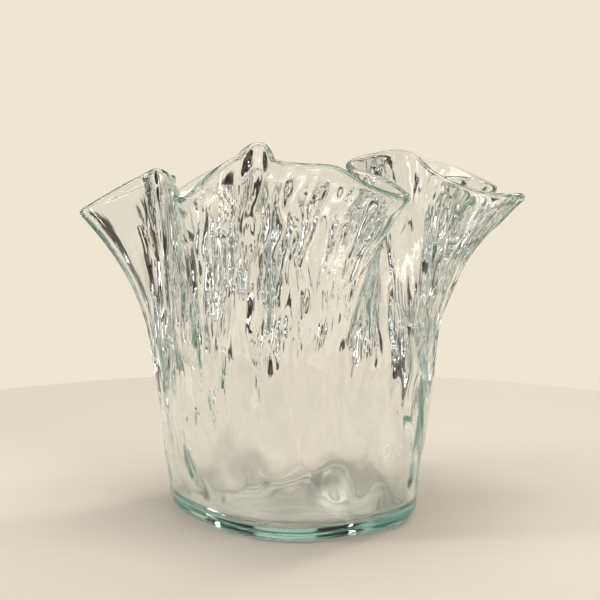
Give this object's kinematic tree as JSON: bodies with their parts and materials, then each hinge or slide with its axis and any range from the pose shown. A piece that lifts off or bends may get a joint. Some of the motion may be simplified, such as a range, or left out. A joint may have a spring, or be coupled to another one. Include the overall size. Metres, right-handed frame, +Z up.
{
  "type": "glass vase",
  "caption": "Hand-formed clear glass vase with a soft square foot and a tapering cup whose wall flares into a deeply folded rim, open at the top.",
  "frame": {"origin": "under the middle of the foot, on the surface that the vase stands on", "axes": "+Z up out of the mouth, +X to the viewer's right along the widest spread of the rim, -Y towards the viewer in the picture"},
  "size_m": [0.2423, 0.2194, 0.21],
  "materials": {
    "glass": "clear with a faint aqua tint, fire-polished rim, finely rippled upper wall"
  },
  "bodies": {
    "root": {"glass_vase": "glass"}
  },
  "joints": []
}
